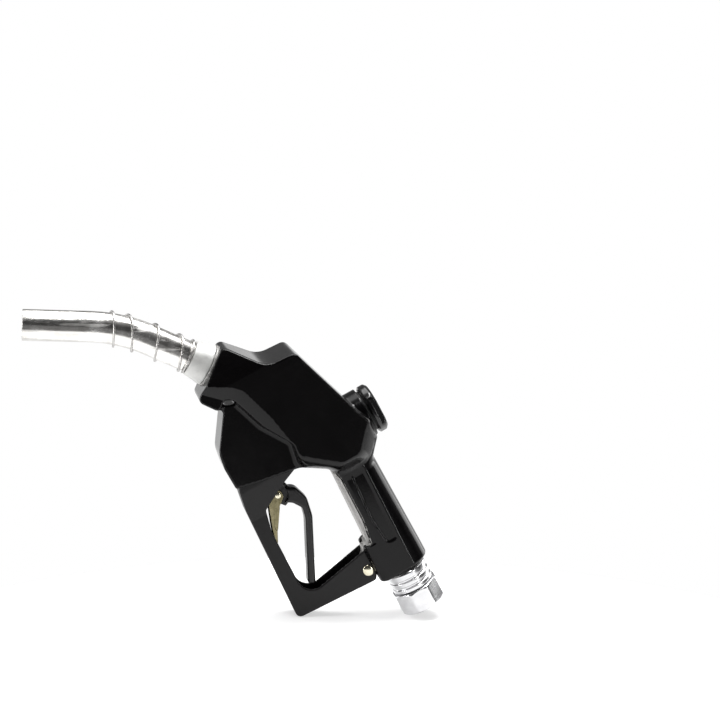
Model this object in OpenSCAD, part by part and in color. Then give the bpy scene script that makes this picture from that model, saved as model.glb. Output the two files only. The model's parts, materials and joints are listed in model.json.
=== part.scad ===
// Automatic fuel nozzle, built as the assembly of its real pieces.
//
// Every piece is drawn in the nozzle's own frame: the origin is where the
// handle's axis crosses the main valve's axis, +X runs along the valve axis
// out through the cap, +Z runs up the handle away from the hose, and the
// nozzle is symmetric about Y = 0. stance() then turns it into the pose in
// which it stands, on the guard's lower corner and the edge of the hose nut.

/* [Body] */
// Width of the body over its cover
body_w = 60; // [56:0.5:64]
// Width of the lobe that holds the lever's upper end, over its cover
lobe_w = 34; // [32:0.5:38]
// Thickness of the soft cover
cover_t = 2.5; // [2:0.1:3]
// Radius of the round boss that the valve cap closes, over its cover
boss_r = 21; // [20.5:0.1:23]

/* [Grip] */
// Width of the grip, side to side
grip_w = 38; // [36:0.5:42]
// How far the grip reaches behind the handle's axis
grip_back = 22; // [20:0.5:24]
// How far the grip reaches in front of the handle's axis
grip_front = 17.5; // [17:0.5:19]
// Height of the grip's lower end below the valve axis
grip_end = 133; // [130:0.5:136]

/* [Spout] */
// Outside diameter of the spout tube
spout_d = 25; // [24:0.1:26]
// Wall of the spout tube
spout_wall = 1.8; // [1.5:0.1:2]
// Angle of the spout's bend
spout_bend = 22; // [18:1:26]
// Radius of the bend, along the tube's centre
bend_r = 125; // [110:1:140]
// Straight length from the collar to the bend
spout_root = 52; // [48:1:56]
// Straight length after the bend
spout_tip = 52; // [45:1:60]

/* [Lever] */
// Width of the part of the lever that the fingers pull
lever_w = 14; // [13:0.1:14]
// Thickness of the lever
lever_t = 6.5; // [5:0.5:7]

/* [Guard] */
// Width of the guard's arms
guard_w = 20; // [19.6:0.1:22]
// Width of the channel inside the guard, which the lever's end enters
guard_slot = 15; // [14.8:0.1:15.4]

/* [Hose end] */
// Outside diameter of the swivel's grooved body
swivel_d = 36; // [34:0.5:38]
// Width of the hose nut across its flats
nut_flats = 38.5; // [38:0.1:41]
// Core diameter of the nut's one inch pipe thread
thread_core_d = 30.3; // [30.2:0.05:30.4]

/* [Hidden] */

$fn = 64;

// Clearances
run = 0.05; // a pin or stem running in its hole
gap = 0.35; // between pieces that move past each other
big = 400; // length of a cut that passes right through

// Stance: tilt of the valve axis, and where the origin sits above the ground
tilt = 31.6;
stance_x = 72.9;
stance_z = 156.17;

// Spout axis: where it leaves the body, and its angle from the handle's axis
spout_x = -61.8;
spout_z = 98.8;
spout_lean = -37;
spout_r = spout_d / 2;
collar_len = 16;
collar_r1 = 17;
collar_r2 = 14.2;
neck_r = 17.4;
spout_bore_r = 14;
spout_depth = 46;

// Main valve, along X
chamber_r = 14;
chamber_x0 = -9;
boss_end = 31;
casting_end = 33;
seat_t = 4;
outlet_r = 11;
outlet_end = -25;
stem_r = 3;
gland_x0 = -43;
gland_x1 = -30;
gland_r = 6;
stem_tip = -54.6;
poppet_back = -1;

// Plunger, latch and diaphragm, along a line parallel to X
latch_z = 33;
plunger_r = 6;
latch_bore_r = 9;
latch_bore_x0 = -36;
latch_bore_x1 = -7;
latch_pin_r = 4.4;
ball_r = 2;
membrane_x = -4;
membrane_t = 0.8;
membrane_r = 14;
dome_r = 11.5;

// Lever
fulcrum = [-61, latch_z];
fulcrum_r = 2.5;
lever_slot_w = 15.2;
lever_core_w = 9;
clip_pivot = [-63.6, -24];
clip_pivot_r = 2;
clip_sheet = 1.2;

// Guard and its fixings
guard_top = 8;
guard_rivet_at = [-28, -118.5];
guard_rivet_r = 2.6;
guard_screw_at = [-78, 20];
ear_y = 10.7;
ear_t = 2.6;
lug_w = 14.4;

// Handle and swivel
grip_r = 12.5;
sleeve_top = 98;
sleeve_front = 22.8;
land_depth = 0.8;
inlet_r = 9.5;
inlet_x = 1;
spigot_r = 12;
spigot_top = -116;
adaptor_x = 0;
adaptor_top = -134.2;
adaptor_end = -152;
nut_top = -152.4;
nut_end = -172;
nut_neck_r = 13;
nut_flange_r = 14.8;
thread_r = thread_core_d / 2;
thread_top = -161;

// ---- helpers ----

function unit(v) = v / norm(v);

// Arc that rounds the corner at p, between the points a and b
function corner(a, p, b, r, steps = 6) =
    r == 0 ? [p] :
    let (d1 = unit(a - p), d2 = unit(b - p), half = acos(d1 * d2) / 2,
         centre = p + unit(d1 + d2) * r / sin(half),
         start = p + d1 * r / tan(half) - centre,
         turn = (180 - 2 * half) * sign(d1.x * d2.y - d1.y * d2.x),
         a0 = atan2(start.y, start.x))
    [for (i = [0:steps]) centre + r * [cos(a0 - turn * i / steps), sin(a0 - turn * i / steps)]];

// Outline from corners given as [x, z, radius]
function outline(pts) =
    let (n = len(pts))
    [for (i = [0:n - 1])
        let (a = pts[(i + n - 1) % n], p = pts[i], b = pts[(i + 1) % n])
        for (q = corner([a.x, a.y], [p.x, p.y], [b.x, b.y], p[2])) q];

function normal_in(a, b) = let (d = unit(b - a)) [d.y, -d.x];

// The clockwise outline pts, moved inwards by d
function inset(pts, d) =
    let (n = len(pts))
    [for (i = [0:n - 1])
        let (n1 = normal_in(pts[(i + n - 1) % n], pts[i]), n2 = normal_in(pts[i], pts[(i + 1) % n]))
        pts[i] + d * (n1 + n2) / (1 + n1 * n2)];

// Turns the nozzle's own frame into the standing one
module stance() translate([stance_x, 0, stance_z]) rotate([0, -tilt, 0]) children();

// Extrudes an X-Z outline symmetrically about Y = 0
module side(w) rotate([90, 0, 0]) linear_extrude(w, center = true) children();

// Cylinder along X from x0 to x1, at height z
module rod_x(r, x0, x1, z = 0) translate([x0, 0, z]) rotate([0, 90, 0]) cylinder(r = r, h = x1 - x0);

// Cone along X
module cone_x(r0, r1, x0, x1, z = 0)
    translate([x0, 0, z]) rotate([0, 90, 0]) cylinder(r1 = r0, r2 = r1, h = x1 - x0);

// Cylinder along Y, centred on Y = 0
module rod_y(r, w, at) translate([at.x, 0, at.y]) rotate([90, 0, 0]) cylinder(r = r, h = w, center = true);

// Cylinder along Z from z0 to z1, at x
module rod_z(r, z0, z1, x = 0) translate([x, 0, z0]) cylinder(r = r, h = z1 - z0);

// Frame with +Z along the spout's root, out of the body
module at_spout() translate([spout_x, 0, spout_z]) rotate([0, spout_lean, 0]) children();

// Ring of square section along Z
module ring_z(r_in, r_out, z0, z1) rotate_extrude()
    translate([r_in, z0]) square([r_out - r_in, z1 - z0]);

// Ring of round section, lying in the X-Y plane
module o_ring(r, wire) rotate_extrude() translate([r, 0]) circle(r = wire, $fn = 24);

// Tube swept along points; each ring has the same number of sides
function sweep_frame(pts, i) =
    let (n = len(pts), a = pts[max(i - 1, 0)], b = pts[min(i + 1, n - 1)], t = unit(b - a),
         up = abs(t.z) > 0.9 ? [1, 0, 0] : [0, 0, 1], s = unit(cross(t, up)))
    [s, cross(t, s)];

module sweep(pts, r, sides = 6) {
    n = len(pts);
    rings = [for (i = [0:n - 1]) let (f = sweep_frame(pts, i)) for (k = [0:sides - 1])
        pts[i] + r * (cos(360 * k / sides) * f[0] + sin(360 * k / sides) * f[1])];
    walls = [for (i = [0:n - 2], k = [0:sides - 1])
        let (a = i * sides + k, b = i * sides + (k + 1) % sides)
        for (f = [[a, b, b + sides], [a, b + sides, a + sides]]) f];
    start = [for (k = [sides - 1:-1:0]) k];
    end = [for (k = [0:sides - 1]) (n - 1) * sides + k];
    polyhedron(points = rings, faces = concat(walls, [start, end]), convexity = 8);
}

// Compression spring along Z from 0 to length
module coil_spring(r, wire, length, turns, steps = 16) {
    n = turns * steps;
    sweep([for (i = [0:n])
        let (a = 360 * i / steps)
        [r * cos(a), r * sin(a), wire + (length - 2 * wire) * i / n]], wire, 6);
}

// ---- outer form of the body, shared by the cover and the casting ----

body_corners = [[-44.9, 109.6, 5], [-21.5, 81, 18], [3, 79.5, 6], [26, 9, 6], [30.5, 0, 4], [13, -26, 8],
                [12, -50, 0], [-14, -50, 0], [-16.5, -23, 12], [-36, -9.5, 10], [-34, 14, 10],
                [-47, 50, 20], [-62, 95, 4]];
// Lower shoulder in front of the wide body, down to the lobe
shoulder_w = 44;
shoulder_corners = [[-46, 108, 5], [-24, 78, 0], [-24, 14, 0], [-34, 14, 4], [-60, 46, 12], [-73, 63, 4],
                    [-83.4, 80.4, 5]];
// Heel between the cap's boss and the back of the grip
heel_corners = [[0, 10, 0], [30.6, 10, 0], [31.4, -19, 4], [grip_back, -31, 8], [grip_back - 1, -50, 0],
                [0, -50, 0]];
lobe_corners = [[-50, 60, 0], [-15, 20, 0], [-26, -10, 0], [-38, -9.5, 0], [-72, -3.5, 0], [-90.6, 1, 0],
                [-91, 20, 10], [-88.8, 33.5, 18], [-70, 61.5, 4], [-70, 68, 0]];
// Half-widths of the body at heights from top to bottom
body_taper = [[112, 15], [92, 25], [78, 30], [-14, 30], [-31, 19], [-60, 19]];
// The casting leaves the lobe's mouth to the guard, up to here
lobe_floor_end = -39.6;

// Rounded rectangle from x0 to x1 and across the width w
module grip_section(x0, x1, w, r)
    polygon(outline([[x0, w / 2, r], [x1, w / 2, r], [x1, -w / 2, r], [x0, -w / 2, r]]));

// The grip and its thicker lower end, d inside the cover's surface
module grip_form(d, bottom) {
    translate([0, 0, -bottom]) linear_extrude(bottom - 22)
        grip_section(d - grip_front, grip_back - d, grip_w - 2 * d, grip_r - d);
    translate([0, 0, -bottom]) linear_extrude(bottom - sleeve_top - d)
        grip_section(d - sleeve_front, grip_back - d, grip_w - 2 * d, grip_r - d);
}

// Cuts what it is given to the body's width at each height
module tapered(d) intersection() {
    children();
    rotate([90, 0, 90]) linear_extrude(big, center = true)
        polygon(concat([for (p = body_taper) [p[1] - d, p.x]],
                       [for (i = [len(body_taper) - 1:-1:0]) [d - body_taper[i][1], body_taper[i].x]]));
}

// Whole outer form of the body, d inside the cover's surface
module body_form(d, bottom) {
    tapered(d) union() {
        side(body_w - 2 * d) polygon(inset(outline(body_corners), d));
        side(shoulder_w - 2 * d) polygon(inset(outline(shoulder_corners), d));
    }
    side(grip_w - 2 * d) polygon(inset(outline(heel_corners), d));
    side(lobe_w - 2 * d) polygon(inset(outline(lobe_corners), d));
    rod_x(boss_r - d, 0, boss_end);
    grip_form(d, bottom);
}

// Window in the front of the grip, where the cover leaves the casting bare; it grows by d
module grip_window(d) side(big)
    polygon([[-60, -97.5 - d], [-15 + d, -97.5 - d], [-11.8 + d, -75], [-11.4 + d, -34],
             [-13.5 + d, -27 + d], [-19, -24 + d], [-60, -24 + d]]);

// ---- pieces that stay with the body ----

lever_slot = [[-84, -60], [-84, 20], [-80, 32], [-73, 42], [-48, 42], [-48, 16], [-42, 4], [-38, -30],
              [-34, -60]];
gallery = [[-25, 2], [-14, 2], [-14, 14], [-19, 50], [-19, 60], [-39, 60], [-39, 50], [-25, 14]];

module body_casting() color("#9a9c9e") stance() difference() {
    union() {
        difference() {
            body_form(cover_t, grip_end);
            // The lobe stops where the guard's cheeks begin
            translate([-130, -50, -60]) cube([130 + lobe_floor_end, 100, 60 + guard_top]);
        }
        rod_x(boss_r - cover_t, 0, casting_end);
        // Bare land in the front of the grip
        intersection() {
            body_form(land_depth, 110);
            grip_window(-0.3);
        }
        at_spout() translate([0, 0, -12]) cylinder(r = neck_r, h = 12);
        // Lug that the guard's rear end is riveted to
        side(lug_w - 0.6)
            polygon([[-33, -124], [-33, -109], [-25.4, -103], [-25.4, -95], [-14, -95], [-14, -124]]);
    }
    // Valve chamber, its outlet and the crossing passage
    rod_x(chamber_r, chamber_x0, big);
    rod_x(chamber_r, chamber_x0 - seat_t, chamber_x0 + 1);
    rod_x(outlet_r, outlet_end, 0);
    translate([-25, -22, 2]) cube([11, 44, 12]);
    // Galleries that pass each side of the plunger, up to the front chamber
    for (s = [-1, 1]) translate([0, s * 17.25, 0]) side(9.5) polygon(gallery);
    rod_y(10.5, 44, [-29, 56]);
    at_spout() translate([0, 0, -spout_depth]) cylinder(r = spout_bore_r, h = 60);
    // Inlet up the handle, with the thread for the swivel
    rod_z(inlet_r, -big, 0, inlet_x);
    rod_z(spigot_r + run, -big, spigot_top, adaptor_x);
    // Plunger, latch and diaphragm bores
    rod_x(plunger_r + run, -60, 0, latch_z);
    rod_x(latch_bore_r, latch_bore_x0, 0, latch_z);
    rod_x(12, latch_bore_x1, 0, latch_z);
    rod_x(membrane_r + 2.2, membrane_x, 22, latch_z);
    // Gland, stem and the slot that the lever works in
    rod_x(gland_r, -60, gland_x1);
    rod_x(stem_r + 0.3, -60, 0);
    side(lever_slot_w) polygon(lever_slot);
    // Pockets for the guard's ears, and the holes of its fixings
    for (s = [-1, 1]) translate([0, s * ear_y, 0])
        side(ear_t + 0.4) polygon([[-84.2, 0], [-84.2, 28.2], [-71.8, 28.2], [-71.8, 0]]);
    rod_y(2, big, guard_screw_at);
    rod_y(guard_rivet_r, big, guard_rivet_at);
}

module scuff_cover() color("#0d0c0d") stance() difference() {
    body_form(0, grip_end);
    body_form(cover_t, 140);
    // Open at the cap, the neck and the hose end
    rod_x(boss_r - cover_t, 0, big);
    at_spout() translate([0, 0, -10]) cylinder(r = neck_r, h = 60);
    // Open under the lobe, where the guard comes out
    side(lobe_w - 2 * cover_t) polygon([[-88.1, -40], [-88.1, 10], [-40, 10], [-36, -40]]);
    grip_window(0);
    // Notch for the lug, in front of the grip
    side(lug_w) polygon([[-40, -128], [-40, -92], [-14, -92], [-14, -128]]);
}

module spout_collar() color("#a9abad") stance() at_spout() difference() {
    rotate_extrude() polygon([[0, -14], [spout_bore_r - run, -14], [spout_bore_r - run, 0.1],
                              [collar_r1, 0.1], [collar_r1, 2], [collar_r2, collar_len - 1],
                              [collar_r2 - 1, collar_len], [0, collar_len]]);
    translate([0, 0, -20]) cylinder(r = spout_r, h = 60);
}

// Annulus swept along the spout: root, bend and tip
module spout_path(r_out, r_in, z0, tip) {
    translate([0, 0, z0]) difference() {
        cylinder(r = r_out, h = spout_root - z0);
        translate([0, 0, -1]) cylinder(r = r_in, h = spout_root - z0 + 2);
    }
    translate([-bend_r, 0, spout_root]) rotate([90, 0, 0]) rotate_extrude(angle = spout_bend)
        translate([bend_r, 0]) difference() {
            circle(r = r_out);
            circle(r = r_in);
        }
    translate([-bend_r, 0, spout_root]) rotate([0, -spout_bend, 0]) translate([bend_r, 0, 0]) difference() {
        cylinder(r = r_out, h = tip);
        translate([0, 0, -1]) cylinder(r = r_in, h = tip + 2);
    }
}

module spout_tube() color("#c9cbcd") stance() at_spout()
    spout_path(spout_r, spout_r - spout_wall, -17, spout_tip);

module spout_o_ring() color("#222222") stance() at_spout()
    ring_z(spout_r, spout_bore_r, -16.6, -14.2);

// Point on the spout's centre line at a distance from the collar's back, and its direction
function spout_turn(s) = min(max((s - spout_root) / bend_r * 180 / PI, 0), spout_bend);
function spout_point(s) =
    let (a = spout_turn(s), rest = max(s - spout_root - bend_r * spout_bend * PI / 180, 0))
    [-bend_r + bend_r * cos(a) - rest * sin(a), 0, min(s, spout_root) + bend_r * sin(a) + rest * cos(a)];

// Grip spring round the spout: close turns at the collar, then open ones
grip_spring_wire = 0.9;
grip_spring_r = 13.7;
grip_spring_turns = 5;
grip_spring_start = 17.3;
grip_spring_close = 3;
grip_spring_pitch = 21;
function grip_spring_at(turn) = grip_spring_start
    + (turn < 1 ? grip_spring_close * turn : grip_spring_close + grip_spring_pitch * (turn - 1));

// Point on the spring after a number of turns
function grip_spring_point(turn) =
    let (s = grip_spring_at(turn), a = spout_turn(s), q = 360 * turn + 200)
    spout_point(s) + grip_spring_r * (cos(q) * [cos(a), 0, sin(a)] + sin(q) * [0, 1, 0]);

module spout_spring() color("#8d8f90") stance() at_spout()
    sweep([for (i = [0:20 * grip_spring_turns - 5]) grip_spring_point(i / 20)], grip_spring_wire, 6);

// Air tube from the sensing hole near the tip to the valve in the body
module sensing_tube() color("#b8b6a8") stance() at_spout() {
    r = 2;
    bore = 1.3;
    off = -(spout_r - spout_wall - r);
    bent_r = bend_r + off;
    translate([off, 0, -20]) difference() {
        cylinder(r = r, h = spout_root + 20);
        translate([0, 0, -1]) cylinder(r = bore, h = spout_root + 22);
    }
    translate([-bend_r, 0, spout_root]) rotate([90, 0, 0]) rotate_extrude(angle = spout_bend)
        translate([bent_r, 0]) difference() {
            circle(r = r);
            circle(r = bore);
        }
    translate([-bend_r, 0, spout_root]) rotate([0, -spout_bend, 0]) translate([bent_r, 0, 0]) difference() {
        cylinder(r = r, h = spout_tip - 14);
        translate([0, 0, -1]) cylinder(r = bore, h = spout_tip);
    }
}

module check_valve_guide() color("#b9a25a") stance() at_spout() difference() {
    union() {
        ring_z(11, spout_bore_r, -21, -17.2);
        rod_z(3.6, -21, -17.2);
        for (a = [60, 180, 300]) rotate(a + 60) translate([3, -1.2, -21]) cube([9, 2.4, 3.8]);
    }
    rod_z(2 + run, -30, 0);
    translate([-(spout_r - spout_wall - 2), 0, -30]) cylinder(r = 2.1, h = 30);
}

module check_valve_seat() color("#b9a25a") stance() at_spout() ring_z(8.5, spout_bore_r, -45, -41);

module main_valve_seat() color("#b9a25a") stance() difference() {
    rod_x(chamber_r, chamber_x0 - seat_t, chamber_x0);
    rod_x(outlet_r - 1, -big, big);
}

module valve_cap() color("#141415") stance() difference() {
    union() {
        rod_x(chamber_r - run, 25, 34.6);
        rod_x(19.4, 34.5, 35.6);
        rod_x(boss_r, 35.5, 41.5);
        cone_x(boss_r, boss_r - 2.5, 41.4, 43.6);
    }
    rod_x(11, 20, 36);
    // Pair of flats for a spanner
    for (s = [-1, 1]) translate([39, s * (17 + 10), -30]) cube([20, 20, 60]);
}

module cap_o_ring() color("#222222") stance() difference() {
    rod_x(17.6, casting_end, 34.5);
    rod_x(chamber_r - run, 0, 60);
}

module stem_gland() color("#b9a25a") stance() difference() {
    union() {
        rod_x(gland_r - run, gland_x0 + 2, gland_x1 - 2.5);
        translate([gland_x0, 0, 0]) rotate([0, 90, 0]) cylinder(r = 6.6, h = 3, $fn = 6);
    }
    rod_x(stem_r + run, -60, 0);
}

module stem_seal() color("#222222") stance() difference() {
    rod_x(gland_r, gland_x1 - 2.5, gland_x1);
    rod_x(stem_r + run, -60, 0);
}

module diaphragm() color("#2a2a2a") stance() difference() {
    rod_x(membrane_r + 2.1, membrane_x, membrane_x + membrane_t, latch_z);
    rod_x(2.2, -20, 20, latch_z);
}

module diaphragm_cap() color("#b9a25a") stance() difference() {
    union() {
        rod_x(membrane_r + 2.1, membrane_x + membrane_t, 2, latch_z);
        rod_x(dome_r, 1, 8, latch_z);
    }
    rod_x(dome_r - 2, -10, 5.5, latch_z);
}

// ---- guard ----

guard_corners = [[-88, guard_top, 0], [-88, 0, 0], [-89.6, -3, 3], [-92.8, -22, 10],
                 [-98.5, -124.8, 5], [-26, -129.5, 3], [-22.9, -124, 2],
                 [-22.9, -101.5, 1], [-84, -113, 13], [-82.4, -48, 30], [-78, -29, 3], [-57, -16.5, 6],
                 [-40.4, -9, 1], [-40.4, guard_top, 0]];
guard_channel = [[-89, -16], [-93.6, -116], [-90, -120.2], [-20, -125.6], [-20, -60], [-50, -8], [-78, 4]];

module lever_guard() color("#262526") stance() difference() {
    union() {
        intersection() {
            side(lobe_w - 2 * cover_t - 0.2) polygon(outline(guard_corners));
            rotate([90, 0, 90]) linear_extrude(big, center = true)
                polygon([[15, 20], [15, -6], [guard_w / 2, -32], [guard_w / 2, -140],
                         [-guard_w / 2, -140], [-guard_w / 2, -32], [-15, -6], [-15, 20]]);
        }
        // Ears that rise into the casting
        for (s = [-1, 1]) translate([0, s * ear_y, 0])
            side(ear_t) polygon([[-84, 0], [-84, 28], [-72, 28], [-72, 0]]);
        // Notches for the hold-open clip
        for (z = [-30, -40, -50]) side(guard_slot + 1)
            polygon([[-92, z + 3], [-89.6, z - 1.6], [-92, z - 2]]);
    }
    difference() {
        side(guard_slot) polygon(guard_channel);
        for (z = [-30, -40, -50]) side(guard_slot + 1)
            polygon([[-93, z + 3.6], [-89.6, z - 1.6], [-93, z - 2]]);
    }
    side(guard_slot) polygon([[-84, -20], [-84, 60], [-30, 60], [-30, -20]]);
    rod_y(2, big, guard_screw_at);
    rod_y(guard_rivet_r, big, guard_rivet_at);
}

module guard_rivet() color("#cfc8ae") stance() {
    rod_y(guard_rivet_r, guard_w + 1, guard_rivet_at);
    for (s = [-1, 1]) translate([guard_rivet_at.x, s * guard_w / 2, guard_rivet_at.y]) rotate([-s * 90, 0, 0])
        intersection() {
            translate([0, 0, -5.6]) sphere(r = 7.6);
            cylinder(r = 5, h = 3);
        }
}

module guard_screws() color("#b4b6b8") stance() for (s = [-1, 1])
    translate([guard_screw_at.x, s * 8.4, guard_screw_at.y]) rotate([-s * 90, 0, 0]) cylinder(r = 2, h = 6);

// ---- hose end ----

module swivel_adaptor() color("#c4c6c8") stance() difference() {
    union() {
        rod_z(spigot_r, adaptor_top - 1, spigot_top);
        rotate_extrude() polygon([[0, adaptor_top], [16.6, adaptor_top], [swivel_d / 2, -135.4],
            [swivel_d / 2, -139.6], [16.9, -140.4], [16.9, -141.6], [swivel_d / 2, -142.4],
            [swivel_d / 2, -145.6], [16.9, -146.4], [16.9, -147.6], [swivel_d / 2, -148.4],
            [swivel_d / 2, adaptor_end + 0.8], [17.2, adaptor_end], [0, adaptor_end]]);
        rod_z(nut_neck_r, -158, adaptor_end + 1);
        rod_z(nut_flange_r, -158.6, -156.2);
    }
    rod_z(inlet_r, -200, 0);
}

module swivel_seal() color("#222222") stance() difference() {
    rod_z(15.6, adaptor_top + 0.1, -grip_end);
    rod_z(spigot_r, -200, 0);
}

module swivel_nut() color("#d0d2d4") stance() difference() {
    intersection() {
        translate([0, 0, nut_end]) rotate(22.5)
            cylinder(r = nut_flats / 2 / cos(22.5), h = nut_top - nut_end, $fn = 8);
        rotate_extrude() polygon([[0, nut_end], [18.4, nut_end], [20.6, nut_end + 2.2], [20.6, nut_top - 1.6],
                                  [19.2, nut_top], [0, nut_top]]);
    }
    rod_z(nut_neck_r + 2 * run, -200, 0);
    rod_z(thread_r, -200, -155.9);
    rod_z(thread_r + 0.6, thread_top, -155.9);
}

module hose_gasket() color("#2b2b2b") stance() ring_z(inlet_r + 0.5, nut_flange_r - 0.3, -160.6, -158.6);

module inlet_strainer() color("#9c9c94") stance() difference() {
    rod_z(inlet_r - 0.1, -150, -128);
    rod_z(inlet_r - 0.9, -149.2, -100);
    for (a = [0:30:150]) translate([0, 0, -139]) rotate(a) cube([40, 1.6, 15], center = true);
}

// ---- moving pieces ----

module check_valve_poppet() color("#c7b46a") stance() at_spout() {
    rod_z(11, -41, -38.6);
    rod_z(8, -38.7, -36.6);
    rod_z(2, -41, -12);
}

module check_valve_spring() color("#9b9d9f") stance() at_spout()
    translate([0, 0, -36.5]) coil_spring(6, 0.5, 15.3, 6);

module valve_stem() color("#c7b46a") stance() {
    rod_x(stem_r, stem_tip + stem_r, poppet_back - 1);
    // Rounded tip that the lever pushes on
    translate([stem_tip + stem_r, 0, 0]) sphere(r = stem_r);
}

module main_poppet() color("#c7b46a") stance() difference() {
    union() {
        rod_x(13, chamber_x0 + 2, chamber_x0 + 4.6);
        rod_x(7, chamber_x0 + 4.5, poppet_back);
    }
    rod_x(stem_r, -60, poppet_back - 1);
}

module poppet_seal() color("#202020") stance() difference() {
    rod_x(12.6, chamber_x0, chamber_x0 + 2);
    rod_x(stem_r, -60, 0);
}

module main_spring() color("#9b9d9f") stance() translate([chamber_x0 + 4.7, 0, 0]) rotate([0, 90, 0])
    coil_spring(9, 0.8, 40, 7);

module latch_pin() color("#b4b6b8") stance() {
    rod_x(latch_pin_r, -26, -5.2, latch_z);
    rod_x(2, -6, -1.4, latch_z);
    rod_x(7, -3.1, -1.6, latch_z);
}

module latch_balls() color("#d0d2d4") stance() for (a = [0:120:240])
    translate([-10.6, 0, latch_z]) rotate([a, 0, 0]) translate([0, 0, 6.5]) sphere(r = ball_r);

module plunger() color("#a9abad") stance() difference() {
    union() {
        rod_x(plunger_r, -56, -9.5, latch_z);
        rod_x(latch_bore_r - 0.3, -13.5, -7.7, latch_z);
        side(13.6) polygon(outline([[-66.5, latch_z + 6, 4], [-54.5, latch_z + 6, 0], [-54.5, latch_z - 6, 0],
                                    [-66.5, latch_z - 6, 4]]));
    }
    rod_x(latch_pin_r + 0.1, -28, 0, latch_z);
    side(8) polygon([[-80, 0], [-80, 60], [-53, 60], [-53, 0]]);
    rod_y(fulcrum_r, 40, fulcrum);
    for (a = [0:120:240]) translate([-10.6, 0, latch_z]) rotate([a, 0, 0]) cylinder(r = ball_r + 0.1, h = 20);
}

module plunger_spring() color("#9b9d9f") stance()
    translate([latch_bore_x0 + 0.2, 0, latch_z]) rotate([0, 90, 0]) coil_spring(7.5, 0.6, 22, 6);

module diaphragm_spring() color("#9b9d9f") stance() translate([-1.5, 0, latch_z]) rotate([0, 90, 0])
    coil_spring(5.5, 0.45, 6.8, 3);

module fulcrum_pin() color("#c4c6c8") stance() rod_y(fulcrum_r, 13.4, fulcrum);

lever_head = [[-65.6, 37.2, 4], [-56.4, 37.2, 4], [-55, 20, 10], [-55, -14, 8], [-50, -30, 0], [-62, -36, 0],
              [-68.4, -28, 4], [-69, -18, 8], [-66, 0, 10], [-66, 20, 10]];
lever_hand = [[-57.4, -19.4, 4], [-47.6, -25.5, 8], [-43.6, -38, 8], [-46.6, -54, 20], [-71.6, -107.2, 2.5],
              [-77.4, -104.4, 2.5], [-53.2, -53.6, 20], [-51, -44, 5], [-55.8, -36.4, 4], [-63, -31.4, 3]];

module lever() color("#1f1e1f") stance() difference() {
    union() {
        side(7.4) polygon(outline(lever_head));
        side(lever_core_w)
            polygon([[-64.4, 16], [-55, 16], [-55, -16], [-52, -30], [-66, -30], [-67.6, -16]]);
        side(lever_w) polygon(outline(lever_hand));
    }
    rod_y(fulcrum_r + run, 40, fulcrum);
    rod_y(clip_pivot_r, 40, clip_pivot);
    rod_y(4, 4.2, clip_pivot);
    // Room for the clip's two plates
    for (s = [-1, 1]) translate([0, s * (lever_core_w / 2 + 2), 0]) rod_y(8.6, 4, clip_pivot);
}

module clip_rivet() color("#d9c98c") stance() {
    rod_y(clip_pivot_r, 12.4, clip_pivot);
    for (s = [-1, 1]) translate([0, s * 6.6, 0]) rod_y(2.7, 0.9, clip_pivot);
}

clip_plate = [[-67.4, -21, 3], [-60, -19.6, 3], [-59.6, -27, 3], [-67, -33.4, 4], [-77.6, -50, 3],
              [-82.6, -60, 0.6], [-84.4, -59.4, 0.6], [-80.6, -46, 5], [-73.4, -26, 4]];

module hold_open_clip() color("#8f8a62") stance() difference() {
    union() {
        for (s = [-1, 1]) translate([0, s * (lever_core_w / 2 + 0.4 + clip_sheet / 2), 0])
            side(clip_sheet) polygon(outline(clip_plate));
        side(lever_core_w + 2) polygon([[-77.4, -49.8], [-82.4, -60], [-84.2, -59.4], [-80.4, -49.6]]);
        side(lever_core_w + 2) polygon([[-66.6, -33.6], [-67.8, -33], [-78.6, -50], [-77.4, -50.6]]);
    }
    rod_y(clip_pivot_r + run, 40, clip_pivot);
}

module clip_spring() color("#d9d6c6") stance() translate([clip_pivot.x, 1.9, clip_pivot.y]) rotate([90, 0, 0])
    coil_spring(3.1, 0.4, 3.8, 4);

body_casting();
scuff_cover();
spout_collar();
spout_tube();
spout_o_ring();
spout_spring();
sensing_tube();
check_valve_guide();
check_valve_seat();
check_valve_poppet();
check_valve_spring();
main_valve_seat();
main_poppet();
poppet_seal();
valve_stem();
main_spring();
valve_cap();
cap_o_ring();
stem_gland();
stem_seal();
diaphragm();
diaphragm_cap();
diaphragm_spring();
latch_pin();
latch_balls();
plunger();
plunger_spring();
fulcrum_pin();
lever();
clip_rivet();
hold_open_clip();
clip_spring();
lever_guard();
guard_rivet();
guard_screws();
swivel_adaptor();
swivel_seal();
swivel_nut();
hose_gasket();
inlet_strainer();
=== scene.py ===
"""Looks for the fuel nozzle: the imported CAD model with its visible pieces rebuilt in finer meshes.

Shapes are given in the nozzle's own frame, in millimetres: U along the main valve out through
the cap, Y across the nozzle, W up the handle away from the hose. The origin is where the
handle's axis crosses the valve's axis. Everything is turned into the row frame, in metres.
"""
import json
import math
import bpy
import numpy as np
from mathutils import Matrix, Vector


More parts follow.
